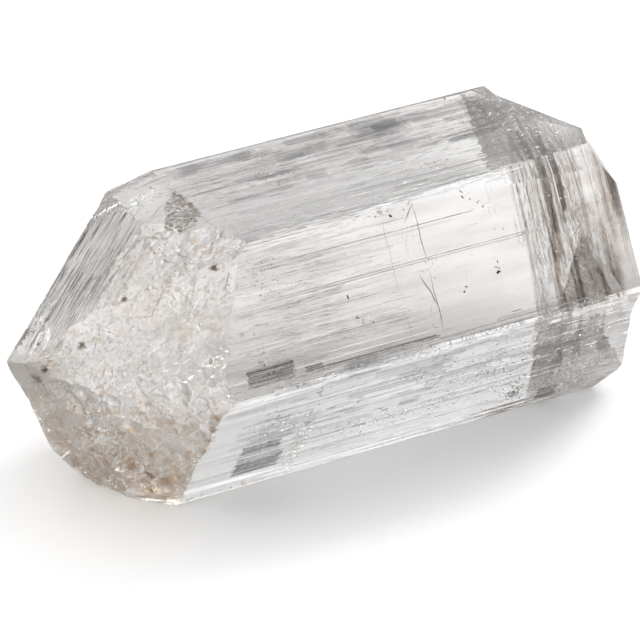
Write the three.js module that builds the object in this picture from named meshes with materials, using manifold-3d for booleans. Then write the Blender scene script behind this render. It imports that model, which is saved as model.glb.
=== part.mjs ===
// Goshenite: one natural prism crystal of clear beryl, lying on a prism face.
// Millimetres. +X runs along the crystal to its flat end, +Y across, +Z up.
// The origin is the middle of the bottom of the overall box, z = 0 the rest.
import * as THREE from 'three';
import { mergeVertices, toCreasedNormals } from 'three/addons/utils/BufferGeometryUtils.js';
import Module from 'manifold-3d';

// ---------------------------------------------------------------- dimensions
// Widths of the prism faces. Beryl's neighbouring faces meet at 120 degrees,
// which leaves the two faces at the back only one set of widths to close with.
const TOP_WIDTH = 13.1;
const FRONT_WIDTH = 11.0;
const LOWER_FRONT_WIDTH = 14.2;
const BOTTOM_WIDTH = 12.2;
const BACK_LOWER_WIDTH = FRONT_WIDTH + TOP_WIDTH - BOTTOM_WIDTH;
const BACK_UPPER_WIDTH = LOWER_FRONT_WIDTH - TOP_WIDTH + BOTTOM_WIDTH;
const HEART_HEIGHT = 10.9;          // height of the crystal's long axis
const HALF_LENGTH = 30;             // the rough bar, before its ends are cut
const EXTENT = 90;                  // side of the blocks that cut the facets
const CREASE = 0.4;                 // radians; sharper edges stay crisp

// Growth ledges: [start, end, depth] along a face's width, in mm. Each is a
// strip of the face that grew a little less than its neighbours.
const TOP_LEDGES = [[1.3, 2.7, 0.10], [4.6, 8.9, 0.14], [11.0, 12.1, 0.20]];
const FRONT_LEDGES = [[0.5, 1.4, 0.05], [9.6, 10.5, 0.16]];
const LOWER_LEDGES = [[0.9, 2.0, 0.14], [6.4, 9.8, 0.12], [11.9, 13.3, 0.22]];
const BACK_LOWER_LEDGES = [[2.2, 3.9, 0.14], [8.0, 9.8, 0.18]];
const BACK_UPPER_LEDGES = [[1.8, 3.3, 0.18], [5.5, 8.4, 0.12], [10.6, 11.9, 0.20]];
const LEDGE_SLOPE = 0.05;           // run of a ledge's riser

// Facets that close the two ends. Each has a tilt away from the long axis, a
// turn about it (0 is up, 90 the front, 180 down) and a reach from the heart.
const facet = (side, tilt, turn, reach) => ({ side, tilt, turn, reach });
const POINT = -1;
const FLAT = 1;
const BEVEL = facet(POINT, 69.5, 0.5, 13.6);          // small, under the top
const STRIATED = facet(POINT, 50.0, 0.5, 15.8);       // long face to the tip
const SHOULDER = facet(POINT, 54.0, 13.5, 15.2);      // narrow, beside it
const FROSTED = facet(POINT, 49.0, 39.5, 15.9);       // broad dull face
const ROLLED_UPPER = facet(POINT, 43.5, 55.5, 17.25);  // where it rolls over
const ROLLED = facet(POINT, 41.0, 78.0, 17.8);
const ROLLED_LOWER = facet(POINT, 43.0, 99.5, 17.5);
const TURNED_UNDER = facet(POINT, 47.5, 117.5, 16.8); // its lower half
const FRACTURED = facet(POINT, 35.5, 125.0, 18.5);    // broken, below the tip
const BACK_UPPER = facet(POINT, 52.0, -62.5, 16.3);
const BACK_MIDDLE = facet(POINT, 43.0, -110.5, 18.6);
const BACK_LOWER = facet(POINT, 48.5, -118.0, 17.6);
const UNDERCUT = facet(POINT, 56.5, -155.0, 18.1);    // just above the rest
const POINTED_END = [
  BEVEL, STRIATED, SHOULDER, FROSTED, ROLLED_UPPER, ROLLED, ROLLED_LOWER,
  TURNED_UNDER, FRACTURED,
  BACK_UPPER, BACK_MIDDLE, BACK_LOWER, UNDERCUT,
];
const BASAL = facet(FLAT, 0.0, 0.0, 22.0);
const OBLIQUE = facet(FLAT, 28.5, -44.0, 21.7);       // takes the top back corner
const LOWER_BACK = facet(FLAT, 10.0, -147.5, 21.6);   // leans in below it
const CORNER_NICK = facet(FLAT, 44.0, 24.0, 23.6);    // top front corner
const FLAT_END = [BASAL, OBLIQUE, LOWER_BACK, CORNER_NICK];
// Below mid height the flat end swells out beyond the basal plane.
const RAMP = facet(FLAT, 15.0, 0.0, 21.0);
const RAMP_BACK = facet(FLAT, 20.5, -96.5, 20.6);
const RAMP_FOOT = facet(FLAT, 49.0, 180.0, 22.8);
const RAMP_CORNER = facet(FLAT, 52.0, 128.0, 24.0);
const SWELLING = [RAMP, RAMP_BACK, RAMP_FOOT, RAMP_CORNER];
// Narrow bevels along two of the prism's edges. The first widens towards the
// flat end and the second towards the point.
const TOP_FRONT_BEVEL = facet(FLAT, 88.4, 30.0, 12.96);
const BOTTOM_BACK_BEVEL = facet(POINT, 88.9, -150.0, 12.36);
const EDGE_BEVELS = [TOP_FRONT_BEVEL, BOTTOM_BACK_BEVEL];

// Stair-like growth steps in the striated face, running down to the tip.
const STEP_COUNT = 8;
const STEP_PITCH = 0.82;
const STEP_START = -7.9;            // across the face, from below the heart
const STEP_RISE = 0.20;
const STEP_RUN_OUT = 0.12;
const STEP_CLEAR = 0.4;             // how far the cutter stands off the face
const STEP_LENGTH = 30;

// Shell-shaped (conchoidal) hollows in the end faces: the facet, where on it
// (across, up), the radius of the shell and how deep it bites.
const hollow = (on, y, z, radius, bite) => ({ on, y, z, radius, bite });
const HOLLOWS = [
  hollow(FRACTURED, -2.6, 8.6, 10.0, 0.50),
  hollow(FRACTURED, 0.4, 5.2, 7.0, 0.50),
  hollow(FRACTURED, -1.0, 2.6, 6.0, 0.50),
  hollow(FRACTURED, -2.8, 11.2, 6.0, 0.32),
  hollow(FRACTURED, 0.9, 9.6, 5.0, 0.20),
  hollow(FRACTURED, -4.6, 7.4, 5.0, 0.36),
  hollow(TURNED_UNDER, -7.6, 9.2, 21.0, 0.38),
  hollow(TURNED_UNDER, -6.2, 5.2, 9.0, 0.42),
  hollow(TURNED_UNDER, -5.4, 2.2, 6.0, 0.42),
  hollow(TURNED_UNDER, -9.2, 5.6, 8.0, 0.36),
  hollow(FROSTED, -6.2, 17.0, 16.0, 0.42),
  hollow(FROSTED, -9.2, 16.8, 12.0, 0.34),
  hollow(FROSTED, -5.2, 13.4, 13.0, 0.36),
  hollow(FROSTED, -9.2, 13.6, 17.0, 0.32),
  hollow(FROSTED, -2.6, 17.4, 9.0, 0.26),
  hollow(SHOULDER, -2.4, 20.4, 7.0, 0.26),
  hollow(BACK_MIDDLE, 6.4, 9.6, 12.0, 0.45),
  hollow(BACK_MIDDLE, 8.8, 6.2, 9.0, 0.50),
  hollow(BACK_UPPER, 7.6, 14.4, 15.0, 0.36),
  hollow(BACK_UPPER, 9.8, 11.4, 8.0, 0.34),
  hollow(BASAL, -3.0, 16.4, 15.0, 0.24),
  hollow(BASAL, -7.6, 13.4, 9.0, 0.22),
  hollow(RAMP, -4.6, 7.2, 11.0, 0.36),
  hollow(RAMP, 0.8, 4.8, 8.0, 0.42),
];
const SHELL_DETAIL = 13;

// The prism's long edges, by their place on the walk round its section.
const LOWER_FRONT_EDGE = 0;
const BACK_EDGE = 2;
const TOP_BACK_EDGE = 3;
const TOP_FRONT_EDGE = 4;
const FRONT_EDGE = 5;

// Chips on those edges: which edge, how far along, and the size of the bite.
const chip = (edge, x, radius, bite) => ({ edge, x, radius, bite });
const CHIPS = [
  chip(LOWER_FRONT_EDGE, -7.2, 1.5, 0.24),
  chip(LOWER_FRONT_EDGE, -3.4, 2.0, 0.34),
  chip(LOWER_FRONT_EDGE, 9.6, 1.8, 0.30),
  chip(LOWER_FRONT_EDGE, 15.8, 1.4, 0.20),
  chip(TOP_FRONT_EDGE, -9.6, 1.6, 0.34),
  chip(TOP_FRONT_EDGE, 21.6, 1.4, 0.40),
  chip(FRONT_EDGE, -13.5, 1.7, 0.34),
  chip(FRONT_EDGE, 4.5, 1.2, 0.10),
  chip(FRONT_EDGE, 21.8, 1.5, 0.40),
  chip(TOP_BACK_EDGE, 2.0, 1.8, 0.16),
  chip(BACK_EDGE, -4.0, 1.8, 0.22),
];
const CHIP_DETAIL = 6;

// ------------------------------------------------------------------ helpers
const wasm = await Module();
wasm.setup();

function toSolid(geometry) {
  const bare = geometry.clone();
  bare.deleteAttribute('normal');
  bare.deleteAttribute('uv');
  const welded = mergeVertices(bare, 1e-5);
  return new wasm.Manifold(new wasm.Mesh({
    numProp: 3,
    vertProperties: Float32Array.from(welded.attributes.position.array),
    triVerts: Uint32Array.from(welded.index.array),
  }));
}

function toGeometry(solid) {
  const mesh = solid.getMesh();
  const geometry = new THREE.BufferGeometry();
  const points = new THREE.BufferAttribute(mesh.vertProperties, 3);
  geometry.setAttribute('position', points);
  geometry.setIndex(new THREE.BufferAttribute(mesh.triVerts, 1));
  return geometry;
}

// Outward direction of a facet.
function outward({ side, tilt, turn }) {
  const t = THREE.MathUtils.degToRad(tilt);
  const u = THREE.MathUtils.degToRad(turn);
  return new THREE.Vector3(
    side * Math.cos(t),
    -Math.sin(t) * Math.sin(u),
    Math.sin(t) * Math.cos(u),
  );
}

// A block whose near face lies on the facet's plane, for cutting with.
function blockBeyond(one) {
  const block = new THREE.BoxGeometry(EXTENT, EXTENT, EXTENT);
  block.translate(0, 0, EXTENT / 2 + one.reach);
  const swing = new THREE.Quaternion();
  swing.setFromUnitVectors(new THREE.Vector3(0, 0, 1), outward(one));
  block.applyQuaternion(swing);
  block.translate(0, 0, HEART_HEIGHT);
  return toSolid(block);
}

function cutFacets(solid, facets) {
  return facets.reduce((left, one) => left.subtract(blockBeyond(one)), solid);
}

// Subtracts the part of a sphere that dips below the surface at a point.
function bite(solid, at, out, radius, depth, detail) {
  const ball = new THREE.IcosahedronGeometry(radius, detail);
  const centre = at.clone().addScaledVector(out, radius - depth);
  ball.translate(centre.x, centre.y, centre.z);
  return solid.subtract(toSolid(ball));
}

function cutHollow(solid, { on, y, z, radius, bite: depth }) {
  const out = outward(on);
  const level = z - HEART_HEIGHT;
  const x = (on.reach - out.y * y - out.z * level) / out.x;
  return bite(solid, new THREE.Vector3(x, y, z), out, radius, depth, SHELL_DETAIL);
}

// A chip opens straight out from the long axis.
function cutChip(solid, { edge, x, radius, bite: depth }) {
  const { corner } = SIDES[edge];
  const out = new THREE.Vector3(0, corner.x, corner.y - HEART_HEIGHT).normalize();
  const at = new THREE.Vector3(x, corner.x, corner.y);
  return bite(solid, at, out, radius, depth, CHIP_DETAIL);
}

// Slivers freed by overlapping cuts are dropped: the crystal is one piece.
function largestPiece(solid) {
  const pieces = solid.decompose();
  pieces.sort((one, other) => other.volume() - one.volume());
  return pieces[0];
}

// ------------------------------------------------------------ prism section
// Walks once round the six faces from the lower front edge. Each side gets its
// first corner, its direction and the direction into the crystal.
function prismSides() {
  const faces = [
    { width: BOTTOM_WIDTH, ledges: [] },
    { width: BACK_LOWER_WIDTH, ledges: BACK_LOWER_LEDGES },
    { width: BACK_UPPER_WIDTH, ledges: BACK_UPPER_LEDGES },
    { width: TOP_WIDTH, ledges: TOP_LEDGES },
    { width: FRONT_WIDTH, ledges: FRONT_LEDGES },
    { width: LOWER_FRONT_WIDTH, ledges: LOWER_LEDGES },
  ];
  const reachBack = BOTTOM_WIDTH + BACK_LOWER_WIDTH / 2;
  const corner = new THREE.Vector2((LOWER_FRONT_WIDTH / 2 - reachBack) / 2, 0);
  return faces.map(({ width, ledges }, i) => {
    const heading = i * Math.PI / 3;
    const along = new THREE.Vector2(Math.cos(heading), Math.sin(heading));
    const inward = new THREE.Vector2(-along.y, along.x);
    const side = { corner: corner.clone(), along, inward, ledges };
    corner.addScaledVector(along, width);
    return side;
  });
}

const SIDES = prismSides();

// The outline dips into each growth ledge on its way round.
function sectionShape() {
  const points = [];
  for (const { corner, along, inward, ledges } of SIDES) {
    const mark = (distance, depth) => {
      const point = corner.clone().addScaledVector(along, distance);
      points.push(point.addScaledVector(inward, depth));
    };
    mark(0, 0);
    for (const [start, end, depth] of ledges) {
      mark(start, 0);
      mark(start + LEDGE_SLOPE, depth);
      mark(end - LEDGE_SLOPE, depth);
      mark(end, 0);
    }
  }
  return new THREE.Shape(points);
}

function roughBar() {
  const bar = new THREE.ExtrudeGeometry(sectionShape(), {
    depth: 2 * HALF_LENGTH,
    bevelEnabled: false,
  });
  bar.translate(0, 0, -HALF_LENGTH);
  const turnToX = new THREE.Matrix4().makeBasis(
    new THREE.Vector3(0, 1, 0),
    new THREE.Vector3(0, 0, 1),
    new THREE.Vector3(1, 0, 0),
  );
  bar.applyMatrix4(turnToX);
  return toSolid(bar);
}

// ------------------------------------------------------------ striated face
// Shallow stairs cut side by side, each a wedge-shaped groove that runs down
// the face, parallel to its edge with the back of the point. Their widths and
// depths vary from one to the next.
function cutSteps(solid) {
  const out = outward(STRIATED);
  const down = new THREE.Vector3().crossVectors(out, outward(BACK_UPPER)).normalize();
  const across = new THREE.Vector3().crossVectors(out, down);
  let result = solid;
  for (let i = 0; i < STEP_COUNT; i += 1) {
    const wide = STEP_PITCH * (0.50 + 0.40 * Math.abs(Math.sin(2.3 * i + 0.4)));
    const deep = STEP_RISE * (0.45 + 0.55 * Math.abs(Math.cos(1.7 * i)));
    const groove = new THREE.Shape([
      new THREE.Vector2(0, STEP_CLEAR),
      new THREE.Vector2(0, -deep),
      new THREE.Vector2(wide - STEP_RUN_OUT, -deep * 0.25),
      new THREE.Vector2(wide, STEP_CLEAR),
    ]);
    const wedge = new THREE.ExtrudeGeometry(groove, {
      depth: STEP_LENGTH,
      bevelEnabled: false,
    });
    wedge.translate(0, 0, -STEP_LENGTH / 2);
    wedge.applyMatrix4(new THREE.Matrix4().makeBasis(across, out, down));
    const shift = out.clone().multiplyScalar(STRIATED.reach);
    shift.addScaledVector(across, STEP_START + i * STEP_PITCH);
    wedge.translate(shift.x, shift.y, shift.z + HEART_HEIGHT);
    result = result.subtract(toSolid(wedge));
  }
  return result;
}

// ------------------------------------------------------------------ crystal
function buildCrystal() {
  const bar = cutFacets(roughBar(), EDGE_BEVELS);
  const pointed = cutFacets(bar, POINTED_END);
  const body = cutFacets(pointed, FLAT_END);
  const swelling = cutFacets(pointed, SWELLING);
  let crystal = cutSteps(body.add(swelling));
  crystal = HOLLOWS.reduce(cutHollow, crystal);
  crystal = CHIPS.reduce(cutChip, crystal);
  return largestPiece(crystal);
}

const part = new THREE.Group();
part.name = 'goshenite_crystal';

const shape = toCreasedNormals(toGeometry(buildCrystal()), CREASE);
shape.computeBoundingBox();
const middle = shape.boundingBox.getCenter(new THREE.Vector3());
shape.translate(-middle.x, -middle.y, -shape.boundingBox.min.z);

const beryl = new THREE.MeshStandardMaterial({
  name: 'clear_beryl',
  color: 0xe6e3df,
  roughness: 0.06,
  metalness: 0.0,
});
const crystal = new THREE.Mesh(shape, beryl);
crystal.name = 'crystal';
part.add(crystal);

export default part;
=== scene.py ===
import math
from collections import namedtuple

import bmesh
import bpy
import numpy as np
from mathutils import Matrix, Vector
from mathutils.bvhtree import BVHTree


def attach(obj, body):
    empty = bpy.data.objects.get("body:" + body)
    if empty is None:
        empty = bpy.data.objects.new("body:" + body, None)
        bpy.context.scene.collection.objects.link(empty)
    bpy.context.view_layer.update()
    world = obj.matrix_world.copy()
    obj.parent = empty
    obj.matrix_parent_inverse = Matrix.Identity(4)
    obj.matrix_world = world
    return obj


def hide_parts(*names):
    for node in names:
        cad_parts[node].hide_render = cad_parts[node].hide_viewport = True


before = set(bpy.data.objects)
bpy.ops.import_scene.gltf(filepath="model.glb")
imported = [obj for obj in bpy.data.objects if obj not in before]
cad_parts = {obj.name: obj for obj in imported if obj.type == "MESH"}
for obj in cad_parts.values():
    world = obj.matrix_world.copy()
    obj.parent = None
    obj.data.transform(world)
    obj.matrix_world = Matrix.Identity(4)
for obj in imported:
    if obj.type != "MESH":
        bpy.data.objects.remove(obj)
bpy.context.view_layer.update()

# The crystal is worked out in millimetres, along X from the point (-X) to the flat end (+X). SHIFT then
# brings it onto the CAD's origin, the middle of the bottom of its box, and MM turns it into metres.
MM = 0.001
SHIFT = Vector((-0.055, 0, 0))

# ---- the crystal's own measures, mm
TOP_WIDTH = 13.1
FRONT_WIDTH = 11.0
LOWER_FRONT_WIDTH = 14.2
BOTTOM_WIDTH = 12.2
HEART = Vector((0.0, 0.0, 10.9))

# The six prism faces, walking round from the lower front edge.
PRISM = {
    "bottom": BOTTOM_WIDTH,
    "back_lower": FRONT_WIDTH + TOP_WIDTH - BOTTOM_WIDTH,
    "back_upper": LOWER_FRONT_WIDTH - TOP_WIDTH + BOTTOM_WIDTH,
    "top": TOP_WIDTH,
    "front": FRONT_WIDTH,
    "lower_front": LOWER_FRONT_WIDTH,
}

# The end facets: which end, tilt from the axis, turn round it, and reach from the heart of the crystal.
POINT, FLAT = -1, 1
FACETS = {
    "bevel": (POINT, 69.5, 0.5, 13.6),
    "striated": (POINT, 50.0, 0.5, 15.8),
    "shoulder": (POINT, 54.0, 13.5, 15.2),
    "frosted": (POINT, 49.0, 39.5, 15.9),
    "rolled": (POINT, 41.0, 78.0, 17.8),
    "rolled_upper": (POINT, 43.5, 55.5, 17.25),
    "rolled_lower": (POINT, 43.0, 99.5, 17.5),
    "turned_under": (POINT, 47.5, 117.5, 16.8),
    "fractured": (POINT, 35.5, 125.0, 18.5),
    "hidden_upper": (POINT, 52.0, -62.5, 16.3),
    "hidden_middle": (POINT, 43.0, -110.5, 18.6),
    "hidden_lower": (POINT, 48.5, -118.0, 17.6),
    "undercut": (POINT, 56.5, -155.0, 18.1),
    "basal": (FLAT, 0.0, 0.0, 22.0),
    "oblique": (FLAT, 28.5, -44.0, 21.7),
    "lower_back": (FLAT, 10.0, -147.5, 21.6),
    "corner_nick": (FLAT, 44.0, 24.0, 23.6),
    "ramp": (FLAT, 15.0, 0.0, 21.0),
    "ramp_back": (FLAT, 20.5, -96.5, 20.6),
    "ramp_foot": (FLAT, 49.0, 180.0, 22.8),
    "ramp_corner": (FLAT, 52.0, 128.0, 24.0),
    "top_front_bevel": (FLAT, 88.4, 30.0, 12.96),
    "bottom_back_bevel": (POINT, 88.9, -150.0, 12.36),
    "front_bevel": (FLAT, 89.7, 90.0, 12.60),
}
EDGE_BEVELS = ["top_front_bevel", "bottom_back_bevel", "front_bevel"]
POINTED_END = [name for name, row in FACETS.items() if row[0] == POINT and name not in EDGE_BEVELS]
FLAT_END = ["basal", "oblique", "lower_back", "corner_nick"]
SWELLING = ["ramp", "ramp_back", "ramp_foot", "ramp_corner"]
FROSTED_ZONES = ("shoulder", "frosted", "rolled", "rolled_upper", "rolled_lower", "turned_under",
                 "fractured")
HIDDEN_ZONES = ("hidden_upper", "hidden_middle", "hidden_lower", "undercut")
ZONES = list(PRISM) + list(FACETS)

# Facets whose relief is ruled in lines, which run parallel to their edge with this other facet.
RULED = {"striated": "hidden_upper", "basal": "hidden_lower", "oblique": "hidden_lower",
         "lower_back": "hidden_lower", "ramp": "hidden_lower"}


# ---- noise
def hashed(i, j, seed):
    """A repeatable number from 0 to 1 for each whole-numbered cell (i, j), by mixing 32-bit numbers."""
    mask = 0xFFFFFFFF
    n = (i * 374761393 + j * 668265263 + seed * 362437 + 1013904223) & mask
    n = ((n ^ (n >> 13)) * 1274126177) & mask
    n = ((n ^ (n >> 15)) * 461845907) & mask
    return ((n ^ (n >> 16)) & 0xFFFFFF) / 0xFFFFFF


def soft_noise(x, y, seed):
    """Smooth noise from -1 to 1 with features one unit across."""
    i = np.floor(x).astype(np.int64)
    j = np.floor(y).astype(np.int64)
    u = x - i
    v = y - j
    u = u * u * (3 - 2 * u)
    v = v * v * (3 - 2 * v)
    near = hashed(i, j, seed) * (1 - u) + hashed(i + 1, j, seed) * u
    far = hashed(i, j + 1, seed) * (1 - u) + hashed(i + 1, j + 1, seed) * u
    return (near * (1 - v) + far * v) * 2 - 1


def fractal(x, y, seed, octaves):
    """Smooth noise with finer noise on it, each octave about half the size and half the height."""
    total = 0.0
    most = 0.0
    for octave in range(octaves):
        weight = 0.5 ** octave
        scale = 2.03 ** octave
        total = total + weight * soft_noise(x * scale, y * scale, seed + 17 * octave)
        most += weight
    return total / most


def plates(x, y, seed):
    """Flat tilted plates: cells one unit across, each with its own height and slope."""
    i = np.floor(x).astype(np.int64)
    j = np.floor(y).astype(np.int64)
    best = np.full(np.shape(x), np.inf)
    height = np.zeros(np.shape(x))
    for di in (-1, 0, 1):
        for dj in (-1, 0, 1):
            ci = i + di
            cj = j + dj
            dx = x - (ci + hashed(ci, cj, seed))
            dy = y - (cj + hashed(ci, cj, seed + 1))
            distance = dx * dx + dy * dy
            slope_x = hashed(ci, cj, seed + 2) * 2 - 1
            slope_y = hashed(ci, cj, seed + 3) * 2 - 1
            level = hashed(ci, cj, seed + 4) * 2 - 1 + dx * slope_x + dy * slope_y
            closer = distance < best
            best = np.where(closer, distance, best)
            height = np.where(closer, level, height)
    return height


def ramp(x, start, end):
    """0 at start and before it, 1 at end and after it."""
    return np.clip((x - start) / (end - start), 0.0, 1.0)


# ---- meshes
def link(name, data):
    """A new object that holds data, in the scene."""
    made = bpy.data.objects.new(name, data)
    bpy.context.scene.collection.objects.link(made)
    return made


def read(rows, field, width=1):
    """One field of all of a mesh's vertices, faces or attribute values, as an array."""
    values = np.empty(len(rows) * width, dtype=np.float32)
    rows.foreach_get(field, values)
    return values.astype(float) if width == 1 else values.reshape(-1, width).astype(float)


def mark_faces(mesh, name, values):
    """One number for each face of a mesh, or the same for all."""
    spread = np.broadcast_to(values, len(mesh.polygons)).astype(np.float32)
    mesh.attributes.new(name, "FLOAT", "FACE").data.foreach_set("value", spread)


def grid_faces(grid):
    """The four-sided faces between the neighbours in a grid of vertex numbers."""
    sides = np.stack((grid[:-1, :-1], grid[1:, :-1], grid[1:, 1:], grid[:-1, 1:]), axis=-1)
    return sides.reshape(-1, 4).tolist()


def closed_mesh(name, verts, faces, zone):
    """A closed body whose faces point out, each marked with the zone it will leave on the crystal."""
    mesh = bpy.data.meshes.new(name)
    mesh.from_pydata([tuple(v) for v in verts], [], faces)
    work = bmesh.new()
    work.from_mesh(mesh)
    bmesh.ops.recalc_face_normals(work, faces=work.faces)
    work.to_mesh(mesh)
    work.free()
    mark_faces(mesh, "zone", zone)
    return link(name, mesh)


def boolean(base, operands, operation="DIFFERENCE"):
    """The base cut by, or joined with, all the operands, which are used up."""
    for other in operands:
        step = base.modifiers.new("step", "BOOLEAN")
        step.operation = operation
        step.solver = "MANIFOLD"
        step.object = other
    depsgraph = bpy.context.evaluated_depsgraph_get()
    mesh = bpy.data.meshes.new_from_object(base.evaluated_get(depsgraph))
    base.modifiers.clear()
    base.data = mesh
    for other in operands:
        bpy.data.objects.remove(other, do_unlink=True)
    return base


# ---- the prism and its growth ledges
def section():
    """The six corners of the cross-section as (y, z), with the heading of the face after each."""
    y = (PRISM["lower_front"] / 2 - PRISM["bottom"] - PRISM["back_lower"] / 2) / 2
    z = 0.0
    corners = []
    for number, width in enumerate(PRISM.values()):
        heading = number * math.pi / 3
        corners.append((y, z, heading))
        y += width * math.cos(heading)
        z += width * math.sin(heading)
    return corners


Ledge = namedtuple("Ledge", "start end left right depth riser")
LEDGE_WIDTH = (0.18, 2.6)
LEDGE_LENGTH = (5.0, 40.0)
LEDGES_FROM, LEDGES_TO = -26.0, 26.0
LEDGE_FADE = 1.2
EDGE_MARGIN = 0.25
# Growth ledges of each prism face: how many, their depth, their risers' width, where along X they stop.
LEDGE_SETS = {
    "top": (26, (0.006, 0.020), (0.30, 0.60), 18.0),
    "front": (16, (0.010, 0.035), (0.04, 0.09), 4.0),
    "lower_front": (34, (0.010, 0.040), (0.15, 0.40), LEDGES_TO),
    "bottom": (26, (0.020, 0.070), (0.08, 0.25), LEDGES_TO),
    "back_lower": (18, (0.015, 0.050), (0.05, 0.15), 6.0),
    "back_upper": (26, (0.030, 0.120), (0.08, 0.30), LEDGES_TO),
}
FRONT_LEDGES = [
    Ledge(1.95, 2.30, -6.0, 9.5, 0.05, 0.07),
    Ledge(4.45, 4.70, -9.0, 15.0, 0.05, 0.07),
    Ledge(4.80, 6.10, -6.0, 1.0, 0.04, 0.06),
]


def log_uniform(rng, low, high):
    """A size drawn from low to high, small ones being commoner."""
    return math.exp(rng.uniform(math.log(low), math.log(high)))


def random_ledges(rng, width, count, depth, riser, stop):
    """Long shallow terraces that run along the prism: some end part of the way, as growth steps do."""
    made = []
    for _ in range(count):
        across = log_uniform(rng, *LEDGE_WIDTH)
        start = rng.uniform(EDGE_MARGIN, width - EDGE_MARGIN - across)
        length = rng.uniform(*LEDGE_LENGTH)
        begin = rng.uniform(LEDGES_FROM - 8.0, stop - 4.0)
        made.append(Ledge(start, start + across, max(begin, LEDGES_FROM), min(begin + length, stop),
                          rng.uniform(*depth), rng.uniform(*riser)))
    return made


def riser_of(ledge):
    """The width of a ledge's risers: on a narrow ledge they almost meet."""
    return min(ledge.riser, (ledge.end - ledge.start) * 0.45)


def ledge_depth(ledges, s, x):
    """How far the ledges lie below the face, s across it and x along it."""
    total = np.zeros(np.broadcast(s, x).shape)
    for ledge in ledges:
        riser = riser_of(ledge)
        across = ramp(s, ledge.start, ledge.start + riser) * (1 - ramp(s, ledge.end - riser, ledge.end))
        begins = ramp(x, ledge.left, ledge.left + LEDGE_FADE)
        ends = ramp(x, ledge.right - LEDGE_FADE, ledge.right)
        total += ledge.depth * across * (begins * (1 - ends))
    return total


RING_SPACING = 0.42
EDGE_LINE = 0.07
LEAST_GAP = 0.018


def ledge_stations(ledges, width):
    """Where the mesh needs a line across a face: at every ledge's risers, and evenly between them."""
    marks = list(np.linspace(0.0, width, int(width / RING_SPACING) + 1))
    marks += [EDGE_LINE, width - EDGE_LINE]
    for ledge in ledges:
        riser = riser_of(ledge)
        marks += [ledge.start, ledge.start + riser, ledge.end - riser, ledge.end]
    marks = sorted(m for m in marks if 0.0 <= m <= width)
    kept = [marks[0]]
    for mark in marks[1:]:
        if mark - kept[-1] > LEAST_GAP:
            kept.append(mark)
    kept[-1] = width
    return np.array(kept)


def face_ledges():
    """Every prism face's ledges: random ones, and three long ones seen on the upper front."""
    rng = np.random.default_rng(41)
    made = {name: random_ledges(rng, PRISM[name], *row) for name, row in LEDGE_SETS.items()}
    made["front"] += FRONT_LEDGES
    return made


BAR_END = 25.4
BAR_STEP = 1.55
SWAY = 0.7
EDGE_WEAR = 0.05


def prism(ledges):
    """The prism as a long bar, its faces stepped by their ledges, its edges worn by a few hundredths."""
    lengthwise = np.arange(-BAR_END, BAR_END + 0.1, BAR_STEP)
    lengthwise[-1] = BAR_END
    inner = np.ones(len(lengthwise))
    inner[0] = inner[-1] = 0.0
    columns = []
    zones = []
    for number, ((name, width), (y, z, heading)) in enumerate(zip(PRISM.items(), section())):
        s = ledge_stations(ledges[name], width)[:-1]
        sway = SWAY * soft_noise(s * 1.7, s * 0.0 + number, 5)
        x = lengthwise[None, :] + sway[:, None] * inner[None, :]
        depth = ledge_depth(ledges[name], s[:, None], x)
        depth[0, :] = EDGE_WEAR + EDGE_WEAR * soft_noise(x[0] * 0.9, x[0] * 0.0 + number, 8)
        outward = np.array((math.sin(heading), -math.cos(heading)))
        before = np.array((math.sin(heading - math.pi / 3), -math.cos(heading - math.pi / 3)))
        place = np.zeros((len(s), len(lengthwise), 3))
        place[..., 0] = x
        place[..., 1] = y + math.cos(heading) * s[:, None] - outward[0] * depth
        place[..., 2] = z + math.sin(heading) * s[:, None] - outward[1] * depth
        place[0, :, 1] -= before[0] * depth[0]
        place[0, :, 2] -= before[1] * depth[0]
        columns.append(place)
        zones += [number] * len(s)
    rings = np.concatenate(columns)
    grid = np.arange(rings.size // 3).reshape(rings.shape[:2])
    faces = grid_faces(np.vstack((grid, grid[:1])))
    faces += [grid[:, 0].tolist(), grid[:, -1].tolist()]
    marks = list(np.repeat(zones, grid.shape[1] - 1)) + [0, 0]
    return closed_mesh("prism", rings.reshape(-1, 3), faces, marks)


# ---- the end facets
FAR = 45.0
TIP = Vector((-24.0, 1.2, 10.6))
TIP_CALM = (0.4, 3.5)
TIP_RELIEF = 0.15
HIGH_SPOTS = 6.0
MARGIN = 0.9


def facet_normal(name):
    """A facet's outward normal, from its tilt and turn."""
    side, tilt, turn, _ = FACETS[name]
    t = math.radians(tilt)
    u = math.radians(turn)
    return Vector((side * math.cos(t), -math.sin(t) * math.sin(u), math.sin(t) * math.cos(u)))


def facet_plane(name):
    """A facet's normal, its two own directions, and its distance from the heart of the crystal."""
    out = facet_normal(name)
    up = (Vector((0, 0, 1)) - out * out.z).normalized()
    along = up.cross(out)
    if name in RULED:
        along = out.cross(facet_normal(RULED[name])).normalized()
        up = out.cross(along)
    return out, along, up, FACETS[name][3]


def facet_place(name, a, b):
    """The place at (a, b) on a facet's own axes, on its plane."""
    out, along, up, reach = facet_plane(name)
    return HEART + along * a + up * b + out * reach


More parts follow.
